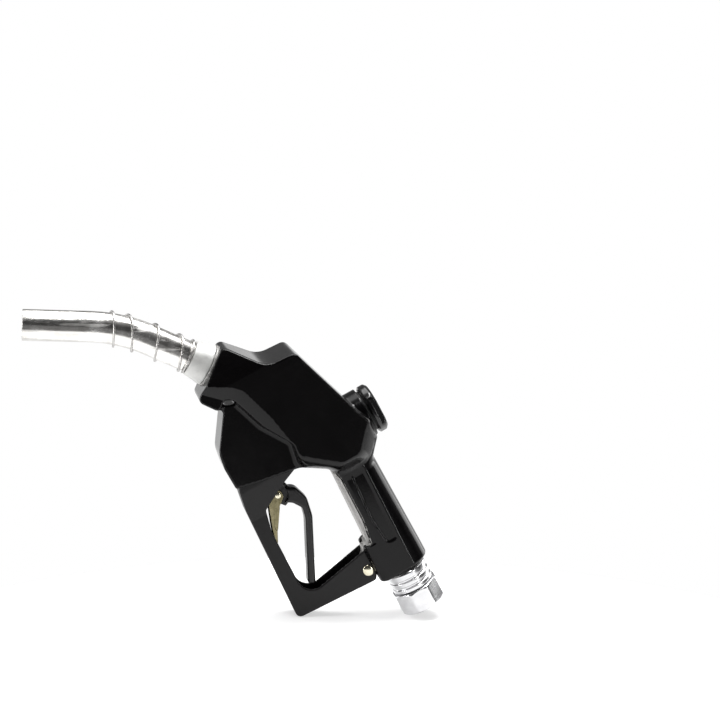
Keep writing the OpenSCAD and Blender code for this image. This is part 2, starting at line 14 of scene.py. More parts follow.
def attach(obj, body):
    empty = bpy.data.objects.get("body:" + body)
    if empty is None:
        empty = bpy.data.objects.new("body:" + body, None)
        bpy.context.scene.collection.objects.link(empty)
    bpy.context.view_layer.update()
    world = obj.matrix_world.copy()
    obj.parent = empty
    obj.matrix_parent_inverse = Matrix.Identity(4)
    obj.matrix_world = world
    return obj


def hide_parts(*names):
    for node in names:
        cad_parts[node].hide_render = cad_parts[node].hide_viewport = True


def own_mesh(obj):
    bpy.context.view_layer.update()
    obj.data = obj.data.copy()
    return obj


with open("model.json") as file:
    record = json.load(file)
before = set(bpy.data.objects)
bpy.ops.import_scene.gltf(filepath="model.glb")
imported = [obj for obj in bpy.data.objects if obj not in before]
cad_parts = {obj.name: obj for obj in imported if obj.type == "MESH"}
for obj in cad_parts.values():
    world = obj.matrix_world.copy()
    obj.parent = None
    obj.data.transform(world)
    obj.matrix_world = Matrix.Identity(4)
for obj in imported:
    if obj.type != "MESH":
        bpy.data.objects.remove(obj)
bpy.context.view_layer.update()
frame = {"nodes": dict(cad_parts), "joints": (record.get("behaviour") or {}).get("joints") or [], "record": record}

# ---- the nozzle's own frame, from the joints ----

joints = {j["name"]: j for j in frame["joints"]}
U_AXIS = Vector(joints["main_valve_slide"]["axis"]).normalized()
W_AXIS = -Vector(joints["swivel_spin"]["axis"]).normalized()
SPIN_BELOW = 0.160  # how far the swivel joint lies below the origin, in metres
ORIGIN = Vector(joints["swivel_spin"]["pos_m"]) + W_AXIS * SPIN_BELOW
AXES = np.array([U_AXIS, (0, 1, 0), W_AXIS])


def to_row(points):
    """Points in the nozzle's frame, in mm, as points in the row frame, in metres."""
    return np.asarray(points, float) @ AXES * 0.001 + np.array(ORIGIN)


# ---- camera ----

cam = bpy.data.objects.new("camera", bpy.data.cameras.new("camera"))
bpy.context.collection.objects.link(cam)
CAM_AT = Vector((-0.1961, -1.3247, 0.4492))
CAM_FORWARD = Vector((0.21029, 0.96286, -0.16935))
CAM_UP = Vector((-0.03338, 0.18019, 0.98306))
back, right = -CAM_FORWARD.normalized(), CAM_FORWARD.cross(CAM_UP).normalized()
turn = Matrix((right, back.cross(right), back)).transposed()
cam.matrix_world = Matrix.Translation(CAM_AT) @ turn.to_4x4()
cam.data.sensor_width = 36
cam.data.lens = 84.05
cam.data.clip_start = 0.05
cam.data.clip_end = 60
bpy.context.scene.camera = cam

# ---- outlines and fields ----
# A field gives the distance to a surface at every point, in mm, negative inside the solid.


def unit(v):
    return v / np.linalg.norm(v)


def outline(corners, chord=0.8):
    """Closed outline from corners given as (u, w, radius)."""
    made = []
    for i, (u, w, r) in enumerate(corners):
        p = np.array((u, w), float)
        if r == 0:
            made.append(p)
            continue
        to_last = unit(np.array(corners[i - 1][:2]) - p)
        to_next = unit(np.array(corners[(i + 1) % len(corners)][:2]) - p)
        half = math.acos(np.clip(to_last @ to_next, -1, 1)) / 2
        centre = p + unit(to_last + to_next) * r / math.sin(half)
        start = p + to_last * r / math.tan(half) - centre
        turn = (math.pi - 2 * half) * np.sign(to_last[0] * to_next[1] - to_last[1] * to_next[0])
        steps = max(3, int(abs(turn) * r / chord))
        for a in np.linspace(0, -turn, steps + 1):
            c, s = math.cos(a), math.sin(a)
            made.append(centre + (start[0] * c - start[1] * s, start[0] * s + start[1] * c))
    return np.array(made)


class Outline:
    """Distance to a closed outline in a plane, kept on a fine grid and read back smoothly."""

    step = 0.5
    margin = 14

    def __init__(self, corners):
        points = outline(corners)
        self.low = points.min(0) - self.margin
        size = ((np.ptp(points, axis=0) + 2 * self.margin) / self.step).astype(int) + 3
        x = self.low[0] + self.step * np.arange(size[0])[:, None]
        z = self.low[1] + self.step * np.arange(size[1])[None, :]
        nearest = np.full(size, 1e9)
        inside = np.zeros(size, bool)
        for a, b in zip(points, np.roll(points, -1, 0)):
            d = b - a
            t = np.clip(((x - a[0]) * d[0] + (z - a[1]) * d[1]) / max(d @ d, 1e-12), 0, 1)
            nearest = np.minimum(nearest, (x - a[0] - t * d[0]) ** 2 + (z - a[1] - t * d[1]) ** 2)
            if a[1] != b[1]:
                crossing = a[0] + (z - a[1]) * d[0] / d[1]
                inside ^= ((a[1] > z) != (b[1] > z)) & (x < crossing)
        self.values = np.where(inside, -1, 1) * np.sqrt(nearest)

    def __call__(self, x, z):
        weights, at = [], []
        for value, low, n in zip((x, z), self.low, self.values.shape):
            g = np.clip((np.asarray(value, float) - low) / self.step, 1, n - 2.001)
            k = np.round(g).astype(int)
            f = g - k
            at.append(k)
            weights.append((0.5 * (0.5 - f) ** 2, 0.75 - f * f, 0.5 * (0.5 + f) ** 2))
        total = 0
        for i in range(3):
            for j in range(3):
                total = total + weights[0][i] * weights[1][j] * self.values[at[0] + i - 1, at[1] + j - 1]
        return total


def both(a, b, r=0):
    """What is inside both, with the edge between them rounded by r."""
    a, b = a + r, b + r
    return np.hypot(np.maximum(a, 0), np.maximum(b, 0)) + np.minimum(np.maximum(a, b), 0) - r


def either(a, b, blend=0.01):
    """What is inside either, with a soft hollow between them."""
    h = np.clip(0.5 + 0.5 * (b - a) / blend, 0, 1)
    return b + (a - b) * h - blend * h * (1 - h)


def without(a, b, r=0):
    return both(a, -b, r)


def ramp(t):
    t = np.clip(t, 0, 1)
    return t * t * (3 - 2 * t)


SLOPE_STEP = 0.05  # how far each side of a point the field's slope is measured, in mm
FLATTEST = 0.05  # least squared slope that a move is worked out with
LONGEST_MOVE = 0.7  # of a cell


def surface(name, field, low, high, cell):
    """Closed quad mesh of the field's zero surface within a box, pulled onto the surface."""
    axes = [np.arange(a - cell, b + 2 * cell, cell) for a, b in zip(low, high)]
    u, y, w = axes[0][:, None, None], axes[1][None, :, None], axes[2][None, None, :]
    grid = np.broadcast_to(field(u, y, w), [len(a) for a in axes])
    cells = np.array(grid.shape) - 1
    total, count, quads = np.zeros((cells.prod(), 3)), np.zeros(cells.prod()), []
    for a in range(3):
        b, c = (a + 1) % 3, (a + 2) % 3
        first = np.take(grid, range(cells[a]), a)
        second = np.take(grid, range(1, cells[a] + 1), a)
        at = np.argwhere((first < 0) != (second < 0))
        f, s = first[tuple(at.T)], second[tuple(at.T)]
        crossing = at.astype(float)
        crossing[:, a] += f / (f - s)
        corners = []
        for db, dc in ((0, 0), (1, 0), (1, 1), (0, 1)):
            owner = at.copy()
            owner[:, b] -= db
            owner[:, c] -= dc
            k = np.ravel_multi_index(owner.T, cells)
            corners.append(k)
            count += np.bincount(k, minlength=len(count))
            for i in range(3):
                total[:, i] += np.bincount(k, crossing[:, i], len(count))
        quad = np.stack(corners, 1)
        quad[s < 0] = quad[s < 0][:, ::-1]
        quads.append(quad)
    used, quads = np.unique(np.concatenate(quads), return_inverse=True)
    quads = quads.reshape(-1, 4)
    points = total[used] / count[used, None] * cell + np.array([a[0] for a in axes])
    around = np.concatenate([quads[:, [i, (i + 1) % 4]] for i in range(4)])
    degree = np.bincount(around[:, 0], minlength=len(points))

    def pulled(p):
        value, slope = field(*p.T), []
        for i in range(3):
            step = np.zeros(3)
            step[i] = SLOPE_STEP
            slope.append((field(*(p + step).T) - field(*(p - step).T)) / (2 * SLOPE_STEP))
        slope = np.stack(slope, 1)
        size = np.maximum((slope**2).sum(1), FLATTEST)
        move = slope * (value / size)[:, None]
        longest = LONGEST_MOVE * cell
        return p - np.clip(move, -longest, longest), slope / np.sqrt(size)[:, None]

    for _ in range(2):
        total = [np.bincount(around[:, 0], points[around[:, 1], i], len(points)) for i in range(3)]
        points = 0.5 * points + 0.5 * np.stack(total, 1) / degree[:, None]
        points, _ = pulled(points)
    points, _ = pulled(points)
    _, normals = pulled(points)
    return mesh_piece(name, points, quads, normals)


def mesh_piece(name, points, faces, normals=None):
    mesh = bpy.data.meshes.new(name)
    faces = faces.tolist() if isinstance(faces, np.ndarray) else faces
    mesh.from_pydata(to_row(points).tolist(), [], faces)
    mesh.shade_smooth()
    if normals is not None:
        turned = normals @ AXES
        turned /= np.maximum(np.linalg.norm(turned, axis=1), 1e-9)[:, None]
        mesh.normals_split_custom_set_from_vertices(turned.tolist())
    obj = bpy.data.objects.new(name, mesh)
    bpy.context.collection.objects.link(obj)
    return obj


# ---- turned and swept pieces ----


class Line:
    """Straight axis from a point, along a direction; s is the distance along it."""

    def __init__(self, start, along):
        self.start, self.along = np.array(start, float), unit(np.array(along, float))
        other = (0, 1, 0) if abs(self.along[1]) < 0.9 else (1, 0, 0)
        self.x = unit(np.cross(other, self.along))
        self.y = np.cross(self.along, self.x)

    def at(self, s):
        return self.start + s * self.along, self.x, self.y


def rounded(profile, r=0.3, steps=3):
    """A turned profile of (s, radius) points with its corners rounded."""
    corners = []
    n = len(profile)
    for i, (s, radius) in enumerate(profile):
        p = np.array((s, radius), float)
        a, b = np.array(profile[i - 1], float), np.array(profile[(i + 1) % n], float)
        cut = min(r, 0.45 * np.linalg.norm(a - p), 0.45 * np.linalg.norm(b - p))
        if radius == 0 or cut < 0.02:
            corners.append(tuple(p))
            continue
        start, end = p + unit(a - p) * cut, p + unit(b - p) * cut
        for t in np.linspace(0, 1, steps + 1):
            corners.append(tuple((1 - t) ** 2 * start + 2 * t * (1 - t) * p + t * t * end))
    return corners


def turned(name, axis, profile, sides=96):
    """A profile of (s, radius) points turned round an axis, which may be bent."""
    points, rings = [], []
    for s, radius in profile:
        centre, x, y = axis.at(s)
        if radius < 1e-6:
            rings.append([len(points)] * sides)
            points.append(centre)
            continue
        rings.append(list(range(len(points), len(points) + sides)))
        for a in np.arange(sides) * 2 * math.pi / sides:
            points.append(centre + radius * (math.cos(a) * x + math.sin(a) * y))
    faces = []
    pairs = list(zip(rings, rings[1:]))
    if profile[0][1] > 1e-6:
        pairs.append((rings[-1], rings[0]))
    for one, two in pairs:
        for k in range(sides):
            face = [one[k], one[(k + 1) % sides], two[(k + 1) % sides], two[k]]
            face = [v for i, v in enumerate(face) if v != face[i - 1]]
            if len(face) > 2:
                faces.append(face)
    obj = mesh_piece(name, np.array(points), faces)
    sharpen(obj, 40)
    return obj


def sharpen(obj, angle):
    """Keeps edges sharper than the angle crisp."""
    obj.data.set_sharp_from_angle(angle=math.radians(angle))


def wire(name, points, r, sides=12):
    """Round wire along points, with domed ends."""
    points = np.array(points, float)
    tangents = np.gradient(points, axis=0)
    tangents /= np.linalg.norm(tangents, axis=1)[:, None]
    x = unit(np.cross(tangents[0], (0.3, 0.9, 0.2)))
    rings, verts = [], []
    ends = [(-0.5, 0.6), (-0.25, 0.88)]
    stations = [(0, k * r, q * r) for k, q in ends] + [(i, 0, r) for i in range(len(points))]
    stations += [(len(points) - 1, -k * r, q * r) for k, q in reversed(ends)]
    for i, ahead, radius in stations:
        t = tangents[i]
        x = unit(x - (x @ t) * t)
        y = np.cross(t, x)
        rings.append(len(verts))
        for a in np.arange(sides) * 2 * math.pi / sides:
            verts.append(points[i] + ahead * t + radius * (math.cos(a) * x + math.sin(a) * y))
    faces = []
    for one, two in zip(rings, rings[1:]):
        for k in range(sides):
            j = (k + 1) % sides
            faces.append([one + k, one + j, two + j, two + k])
    faces.append([rings[0] + k for k in reversed(range(sides))])
    faces.append([rings[-1] + k for k in range(sides)])
    return mesh_piece(name, verts, faces)


def coil(name, axis, s0, s1, radius, wire_r, turns, start=0.0):
    """Compression spring along an axis."""
    made = []
    for t in np.linspace(0, 1, int(turns * 28)):
        centre, x, y = axis.at(s0 + wire_r + (s1 - s0 - 2 * wire_r) * t)
        a = start + 2 * math.pi * turns * t
        made.append(centre + radius * (math.cos(a) * x + math.sin(a) * y))
    return wire(name, made, wire_r, 10)


# ---- materials ----


def finish(name, colours, rough, metallic=0.0, mottle=60, grain=1500, stretch=(1, 1, 1), turn=None,
           bump=0.05, depth=0.0002, scratches=0.0, coat=0.0, specular=0.5, coat_rough=0.1):
    """Procedural material: two colours mottled, uneven roughness, a fine grain and light scratches."""
    mat = bpy.data.materials.new(name)
    mat.use_nodes = True
    nodes, links = mat.node_tree.nodes, mat.node_tree.links
    shader = nodes["Principled BSDF"]
    shader.inputs["Metallic"].default_value = metallic
    shader.inputs["Specular IOR Level"].default_value = specular
    shader.inputs["Coat Weight"].default_value = coat
    shader.inputs["Coat Roughness"].default_value = coat_rough
    place = nodes.new("ShaderNodeTexCoord")
    lie = nodes.new("ShaderNodeMapping")
    lie.vector_type = "TEXTURE"
    if turn is not None:
        lie.inputs["Rotation"].default_value = Vector(turn).to_track_quat("Z", "Y").to_euler()
    links.new(place.outputs["Object"], lie.inputs["Vector"])
    drawn = nodes.new("ShaderNodeVectorMath")
    drawn.operation = "MULTIPLY"
    drawn.inputs[1].default_value = stretch
    links.new(lie.outputs["Vector"], drawn.inputs[0])

    def noise(scale, detail, vector):
        made = nodes.new("ShaderNodeTexNoise")
        made.inputs["Scale"].default_value = scale
        made.inputs["Detail"].default_value = detail
        made.inputs["Roughness"].default_value = 0.6
        links.new(vector, made.inputs["Vector"])
        return made.outputs["Fac"]

    def ranged(value, low, high, to_low, to_high):
        made = nodes.new("ShaderNodeMapRange")
        limits = {"From Min": low, "From Max": high, "To Min": to_low, "To Max": to_high}
        for key, number in limits.items():
            made.inputs[key].default_value = number
        links.new(value, made.inputs["Value"])
        return made.outputs["Result"]

    patches = noise(mottle, 4, place.outputs["Object"])
    fine = noise(grain, 3, drawn.outputs["Vector"])
    mix = nodes.new("ShaderNodeMix")
    mix.data_type = "RGBA"
    mix.inputs[6].default_value = (*colours[0], 1)
    mix.inputs[7].default_value = (*colours[1], 1)
    blend = nodes.new("ShaderNodeMath")
    blend.operation = "MULTIPLY_ADD"
    links.new(fine, blend.inputs[0])
    blend.inputs[1].default_value = 0.45
    links.new(ranged(patches, 0.35, 0.65, -0.1, 0.65), blend.inputs[2])
    links.new(blend.outputs[0], mix.inputs[0])
    links.new(mix.outputs[2], shader.inputs["Base Color"])
    worn = nodes.new("ShaderNodeMath")
    worn.operation = "ADD"
    links.new(ranged(patches, 0.3, 0.7, rough[0], rough[1]), worn.inputs[0])
    if scratches:
        lines = noise(240, 5, drawn.outputs["Vector"])
        links.new(ranged(lines, 0.56, 0.62, 0, scratches), worn.inputs[1])
    else:
        links.new(ranged(fine, 0.3, 0.7, -0.02, 0.02), worn.inputs[1])
    links.new(worn.outputs[0], shader.inputs["Roughness"])
    relief = nodes.new("ShaderNodeBump")
    relief.inputs["Strength"].default_value = bump
    relief.inputs["Distance"].default_value = depth
    links.new(fine, relief.inputs["Height"])
    links.new(relief.outputs["Normal"], shader.inputs["Normal"])
    return mat


SPOUT_LEAN = math.radians(37)
SPOUT_BEND = math.radians(22)
tip_way = AXES.T @ np.array((-math.sin(SPOUT_LEAN + SPOUT_BEND), 0, math.cos(SPOUT_LEAN + SPOUT_BEND)))

MATERIALS = {
    "black_vinyl": finish(
        "black_vinyl", ((0.0012, 0.001, 0.0012), (0.0026, 0.0023, 0.0025)),
        (0.10, 0.18), mottle=35, grain=420, bump=0.05, depth=0.0003, specular=0.2),
    "cast_body": finish(
        "cast_body", ((0.30, 0.295, 0.285), (0.42, 0.41, 0.40)),
        (0.45, 0.62), 0.7, mottle=90, grain=900, bump=0.35, depth=0.0004),
    "spout_aluminium": finish(
        "spout_aluminium", ((0.60, 0.585, 0.56), (0.88, 0.87, 0.85)),
        (0.12, 0.3), 1, mottle=70, grain=700, stretch=(1, 1, 0.06), turn=tip_way, bump=0.12,
        scratches=0.22),
    "turned_aluminium": finish(
        "turned_aluminium", ((0.58, 0.58, 0.59), (0.74, 0.74, 0.75)),
        (0.14, 0.27), 1, mottle=50, grain=260, stretch=(0.05, 0.05, 6), turn=tuple(W_AXIS),
        bump=0.10, scratches=0.06),
    "collar_metal": finish(
        "collar_metal", ((0.50, 0.50, 0.49), (0.66, 0.66, 0.64)),
        (0.45, 0.6), 0.45, mottle=110, grain=700, bump=0.25, depth=0.0003),
    "steel_wire": finish(
        "steel_wire", ((0.36, 0.35, 0.34), (0.58, 0.57, 0.56)),
        (0.22, 0.36), 1, mottle=200, grain=1200, bump=0.05),
    "guard_black": finish(
        "guard_black", ((0.004, 0.0036, 0.0038), (0.008, 0.0073, 0.0077)),
        (0.34, 0.46), mottle=45, grain=1300, bump=0.12, specular=0.26),
    "lever_black": finish(
        "lever_black", ((0.003, 0.0027, 0.0029), (0.006, 0.0055, 0.0058)),
        (0.26, 0.38), mottle=60, grain=1100, bump=0.08, specular=0.32, coat=0.1,
        coat_rough=0.25),
    "cap_black": finish(
        "cap_black", ((0.0015, 0.0013, 0.0015), (0.003, 0.0027, 0.003)),
        (0.08, 0.16), mottle=50, grain=500, bump=0.04, specular=0.5),
    "brass": finish(
        "brass", ((0.55, 0.40, 0.16), (0.72, 0.56, 0.27)),
        (0.24, 0.36), 1, mottle=80, grain=900, bump=0.08, scratches=0.05),
    "plated_rivet": finish(
        "plated_rivet", ((0.60, 0.56, 0.42), (0.74, 0.70, 0.56)),
        (0.12, 0.2), 1, mottle=160, grain=1500, bump=0.05),
    "clip_zinc": finish(
        "clip_zinc", ((0.10, 0.088, 0.045), (0.28, 0.25, 0.15)),
        (0.14, 0.28), 1, mottle=170, grain=900, stretch=(1, 1, 0.2), bump=0.1, scratches=0.1),
    "steel_pin": finish(
        "steel_pin", ((0.52, 0.52, 0.53), (0.68, 0.68, 0.69)),
        (0.2, 0.3), 1, mottle=120, grain=1200, bump=0.05),
    "seal_rubber": finish(
        "seal_rubber", ((0.010, 0.010, 0.010), (0.020, 0.020, 0.020)),
        (0.55, 0.7), mottle=100, grain=900, bump=0.1),
}
SLOTS = {p["node"]: p["material_slot"] for p in frame["record"]["subparts"]}


def dress(obj, material):
    obj.data.materials.clear()
    obj.data.materials.append(MATERIALS[material])


def stand_for(obj, body, *nodes):
    """obj takes the place, body and material of CAD nodes."""
    dress(obj, SLOTS[nodes[0]])
    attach(obj, body)
    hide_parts(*nodes)
    return obj


for name, obj in frame["nodes"].items():
    dress(obj, SLOTS[name])

# ---- the body and its cover ----

BODY_W = 60
LOBE_W = 34
COVER_T = 2.5
BOSS_R = 21
BOSS_END = 33
GRIP_END = -133
SLEEVE_TOP = -98
GRIP_HALF = 18.6  # half-width of the grip's flat sides
LAND_DEPTH = 1.1  # the bare land in the grip's front lies this deep
FRONT_DROP, FRONT_REACH = 9, 14  # how far the sides slope in, in front, and over what width
LOW_DROP, LOW_REACH = 13, 13  # the same under the body
SPOUT_AT = np.array((-61.8, 0, 98.8))
SPOUT_WAY = np.array((-math.sin(SPOUT_LEAN), 0, math.cos(SPOUT_LEAN)))
NECK_R = 17.4

body_side = Outline([(-44.9, 109.6, 5), (-21.5, 81, 18), (3, 79.5, 6), (26, 9, 6), (31, 0, 4),
                     (31.4, -20, 5), (22, -31, 8), (14, -37, 4), (-12, -37, 3), (-16.5, -23, 12),
                     (-37, -10.5, 9), (-33, 14, 8), (-48, 38, 10), (-58, 68, 6), (-64, 71, 4),
                     (-72.5, 65, 3), (-83.4, 80.4, 5)])
flat_side = Outline([(-66, 94, 3), (-52, 135, 0), (60, 135, 0), (60, 5, 0), (29.8, 2, 3), (22, -6, 8),
                     (10.5, -19.5, 7), (-5, -19.6, 9), (-23, -5, 10), (-32.5, 3, 7), (-33.5, 16, 14),
                     (-38, 42, 40), (-48.5, 77, 14)])
lobe_side = Outline([(-50, 60, 0), (-15, 20, 0), (-26, -10, 0), (-38, -9.5, 0), (-72, -3.5, 0),
                     (-90.6, 1, 0), (-91, 20, 10), (-88.8, 33.5, 18), (-70, 61.5, 4), (-70, 68, 0)])
grip_panel = Outline([(0, -30.5, 3), (8.4, -33.5, 2), (6.4, -104, 4), (-4.8, -104, 5),
                      (-7.2, -78, 30), (-4.2, -33, 4)])
grip_window = Outline([(-60, -97.5, 0), (-15, -97.5, 1), (-11.8, -75, 8), (-11.4, -34, 6),
                       (-13.5, -27, 3), (-19, -24, 2), (-60, -24, 0)])
lobe_mouth = Outline([(-88.1, -40, 0), (-88.1, 10, 0), (-40, 10, 0), (-36, -40, 0)])
lug_notch = Outline([(-40, -128, 0), (-40, -92, 0), (-14, -92, 0), (-14, -128, 0)])


def taper(w):
    """Greatest half-width of the body at a height: narrower towards the neck."""
    return np.interp(w, (72, 82, 92, 112), (BODY_W / 2, 28.6, 25, 15))


def cover_form(u, y, w):
    side = np.abs(y)
    # Wide body: flat sides that slope down to the lobe in front and to the grip below
    low = ramp((8 - w) / 14)
    beyond = np.maximum(flat_side(u, w), 0)
    to_lobe = FRONT_DROP * (np.minimum(beyond, FRONT_REACH + 1) / FRONT_REACH) ** 1.2
    to_grip = LOW_DROP * (np.minimum(beyond, LOW_REACH + 1) / LOW_REACH) ** 1.3
    half = np.minimum(BODY_W / 2 - (1 - low) * to_lobe - low * to_grip, taper(w))
    edge = 1.5 + 3.0 * low
    wide = both(body_side(u, w), (side - half) * 0.78, edge)
    lobe = both(lobe_side(u, w), side - LOBE_W / 2, 1.6)
    form = either(wide, lobe, 5)
    # Grip: flat sides with a crisp edge to a curved back, a shallow panel each side, and a
    # thicker sleeve at its lower end
    down = np.clip((-32 - w) / 66, 0, 1.3)
    front = 16.4 + 2.6 * down + 3.9 * ramp((SLEEVE_TOP + 0.8 - w) / 1.6)
    rear, bulge = 21.4 + 0.8 * down, 20.9 - 1.0 * down
    back = (np.hypot(np.maximum(u, 0) / rear, y / bulge) - 1) * (rear + bulge) / 2
    grip = both(both(side - GRIP_HALF, back, 0.5), -u - front, 8)
    grip = grip + 0.6 * ramp(-grip_panel(u, w) / 2.4)
    grip = both(grip, w + 24, 6)
    form = either(form, grip, 5)
    boss = both(both(np.hypot(y, w) - BOSS_R, u - BOSS_END, 0.9), -u)
    return either(form, boss, 1.2)


def by_spout(u, w):
    """How far along the spout's root axis a point lies, and how far to its side."""
    x, z = u - SPOUT_AT[0], w - SPOUT_AT[2]
    return x * SPOUT_WAY[0] + z * SPOUT_WAY[2], x * SPOUT_WAY[2] - z * SPOUT_WAY[0]


def cover_field(u, y, w):
    side = np.abs(y)
    form = cover_form(u, y, w)
    shell = without(both(form, GRIP_END - w, 3), form + COVER_T, 0.3)
    shell = without(shell, both(np.hypot(y, w) - (BOSS_R - COVER_T), -u), 0.3)
    # Opening for the neck
    along, across = by_spout(u, w)
    shell = without(shell, both(np.hypot(across, y) - NECK_R, -10 - along), 0.8)
    shell = without(shell, grip_window(u, w), 0.4)
    shell = without(shell, both(lobe_mouth(u, w), side - (LOBE_W / 2 - COVER_T)), 0.3)
    return without(shell, both(lug_notch(u, w), side - 7.2), 0.3)


cover = surface("scuff_cover_skin", cover_field, (-93, -31, -134), (32, 31, 112), 1.15)
stand_for(cover, "body", "scuff_cover")

# ---- casting under the cover ----


def rod_u(u, y, w, r, start, end, at=0.0):
    """Cylinder along the valve axis, or beside it at a height."""
    return both(np.hypot(y, w - at) - r, np.abs(u - (start + end) / 2) - (end - start) / 2)


def rod_w(u, y, w, r, start, end, at=0.0):
    """Cylinder along w."""
    return both(np.hypot(u - at, y) - r, np.abs(w - (start + end) / 2) - (end - start) / 2)


def rod_y(u, y, w, r, at, half=400):
    """Cylinder along y."""
    return both(np.hypot(u - at[0], w - at[1]) - r, np.abs(y) - half)


def along_spout(u, y, w, r, start, end):
    """Cylinder along the spout's root."""
    along, across = by_spout(u, w)
    return both(np.hypot(across, y) - r, np.abs(along - (start + end) / 2) - (end - start) / 2)


guard_lug = Outline([(-33, -124, 1), (-33, -112, 1), (-25.4, -106, 2), (-23.5, -100, 1),
                     (-14, -98, 0), (-14, -124, 0)])
lever_slot = Outline([(-84, -60, 0), (-84, 20, 0), (-80, 32, 0), (-73, 42, 0), (-48, 42, 0),
                      (-48, 16, 0), (-42, 4, 0), (-38, -30, 0), (-34, -60, 0)])
gallery = Outline([(-25, 2, 0), (-14, 2, 0), (-14, 14, 0), (-19, 50, 0), (-19, 60, 0), (-39, 60, 0),
                   (-39, 50, 0), (-25, 14, 0)])
ear_pocket = Outline([(-84.2, 0, 0), (-84.2, 28.2, 0), (-71.8, 28.2, 0), (-71.8, 0, 0)])
LATCH_W = 33  # height of the plunger's line above the valve axis
GUARD_RIVET = (-28, -118.5)
GUARD_SCREW = (-78, 20)


def casting_field(u, y, w):
    side, at = np.abs(y), (u, y, w)
    form = cover_form(*at)
    solid = both(form + COVER_T + 0.05, GRIP_END - w, 0.3)
    # The casting leaves the lobe's mouth to the guard
    solid = without(solid, both(u + 39.6, w - 8))
    solid = either(solid, rod_u(*at, BOSS_R - COVER_T, 0, 32.9))
    land = both(both(form + LAND_DEPTH, -110 - w), grip_window(u, w) + 0.9)
    solid = either(either(solid, land), along_spout(*at, NECK_R, -12, 0))
    solid = either(solid, both(guard_lug(u, w), side - 6.9, 0.6))
    cuts = [
        # Valve chamber, its outlet and the crossing passages
        rod_u(*at, 14, -13, 60),
        rod_u(*at, 11, -25, 0),
        both(both(np.abs(u + 19.5) - 5.5, np.abs(w - 8) - 6), side - 22),
        both(gallery(u, w), np.abs(side - 17.25) - 4.75),
        rod_y(*at, 10.5, (-29, 56), 22),
        # Sockets of the spout and the swivel, and the inlet between them
        along_spout(*at, 14, -46, 14),
        rod_w(*at, 9.5, -200, 0, 1),
        rod_w(*at, 12.05, -200, -116),
        # Plunger, its spring, the latch and the diaphragm
        rod_u(*at, 6.05, -60, 0, LATCH_W),
        rod_u(*at, 9, -36, 0, LATCH_W),
        rod_u(*at, 12, -7, 0, LATCH_W),
        rod_u(*at, 16.2, -4, 22, LATCH_W),
        # Gland and stem, the lever's slot, the guard's ears and its fixings
        rod_u(*at, 6, -60, -30),
        rod_u(*at, 3.3, -60, 0),
        both(lever_slot(u, w), side - 7.6),
        both(ear_pocket(u, w), np.abs(side - 10.7) - 1.5),
        rod_y(*at, 2, GUARD_SCREW),
        rod_y(*at, 2.6, GUARD_RIVET),
    ]
    for cut in cuts:
        solid = without(solid, cut)
    return solid


casting = surface("body_casting_skin", casting_field, (-92, -29, -134), (34, 29, 110), 1.3)
stand_for(casting, "body", "body_casting")

# ---- valve cap ----

CAP_FRONT = 43.6
cap_profile = Outline([(25, -13.95, 0), (25, 13.95, 0.4), (34.6, 13.95, 0.2), (34.6, 19.4, 0.1),
                       (35.5, 19.4, 0.1), (35.5, 21, 1.1), (41.3, 21, 1.6), (CAP_FRONT, 18.6, 1.2),
                       (CAP_FRONT, -18.6, 1.2), (41.3, -21, 1.6), (35.5, -21, 1.1), (35.5, -19.4, 0.1),
                       (34.6, -19.4, 0.1), (34.6, -13.95, 0.2)])


def cap_field(u, y, w):
    r = np.hypot(y, w)
    form = cap_profile(u, r)
    form = without(form, both(r - 11, u - 36), 0.4)
    # Spanner flats, and a shallow dish in the face
    form = without(form, both(17 - np.abs(y), 38.9 - u), 0.7)
    return without(form, both(r - 14.5, CAP_FRONT - 0.7 - u, 0.4), 0.6)


stand_for(surface("valve_cap_skin", cap_field, (25, -21, -21), (44, 21, 21), 0.62), "body", "valve_cap")

# ---- spout, collar and grip spring ----

SPOUT_R = 12.5
SPOUT_WALL = 1.8
BEND_R = 125
ROOT = 52
TIP = 52


class SpoutLine:
    """Centre line of the spout: straight, bent, then straight again."""

    def at(self, s):
        a = min(max((s - ROOT) / BEND_R, 0), SPOUT_BEND)
        rest = max(s - ROOT - BEND_R * SPOUT_BEND, 0)
        x = -BEND_R * (1 - math.cos(a)) - rest * math.sin(a)
        z = min(s, ROOT) + BEND_R * math.sin(a) + rest * math.cos(a)
        side = np.array((math.cos(SPOUT_LEAN), 0, math.sin(SPOUT_LEAN)))
        across = math.cos(a) * side + math.sin(a) * SPOUT_WAY
        return SPOUT_AT + x * side + z * SPOUT_WAY, across, np.array((0.0, 1.0, 0.0))

    def point(self, s, x, y=0):
        centre, across, out = self.at(s)
        return centre + x * across + y * out


spout_line = SpoutLine()
SPOUT_END = ROOT + BEND_R * SPOUT_BEND + TIP
bend_stations = np.linspace(ROOT, ROOT + BEND_R * SPOUT_BEND, 28)


def tube_profile(start, end, r_out, r_in, lip=0.5):
    """Profile of a tube with its ends rounded."""
    outer = [(start, r_out - lip), (start + 0.3 * lip, r_out - 0.3 * lip), (start + lip, r_out)]
    outer += [(s, r_out) for s in bend_stations if start + lip < s < end - lip]
    outer += [(end - lip, r_out), (end - 0.3 * lip, r_out - 0.3 * lip), (end, r_out - lip)]
    inner = [(end, r_in + 0.2), (end - 0.2, r_in)] + [(s, r_in) for s in bend_stations[::-1]]
    return outer + inner + [(start, r_in)]


spout = turned("spout_tube_skin", spout_line,
               tube_profile(-17, SPOUT_END, SPOUT_R, SPOUT_R - SPOUT_WALL), 128)
stand_for(spout, "body", "spout_tube")

collar = turned("spout_collar_skin", spout_line,
                rounded([(-14, 12.55), (-14, 13.9), (0.1, 13.9), (0.1, 17), (1.6, 17), (14.6, 14.5),
                         (15.6, 14.1), (16, 13.4), (16, 12.9), (15.4, 12.55)], 0.5), 128)
stand_for(collar, "body", "spout_collar")


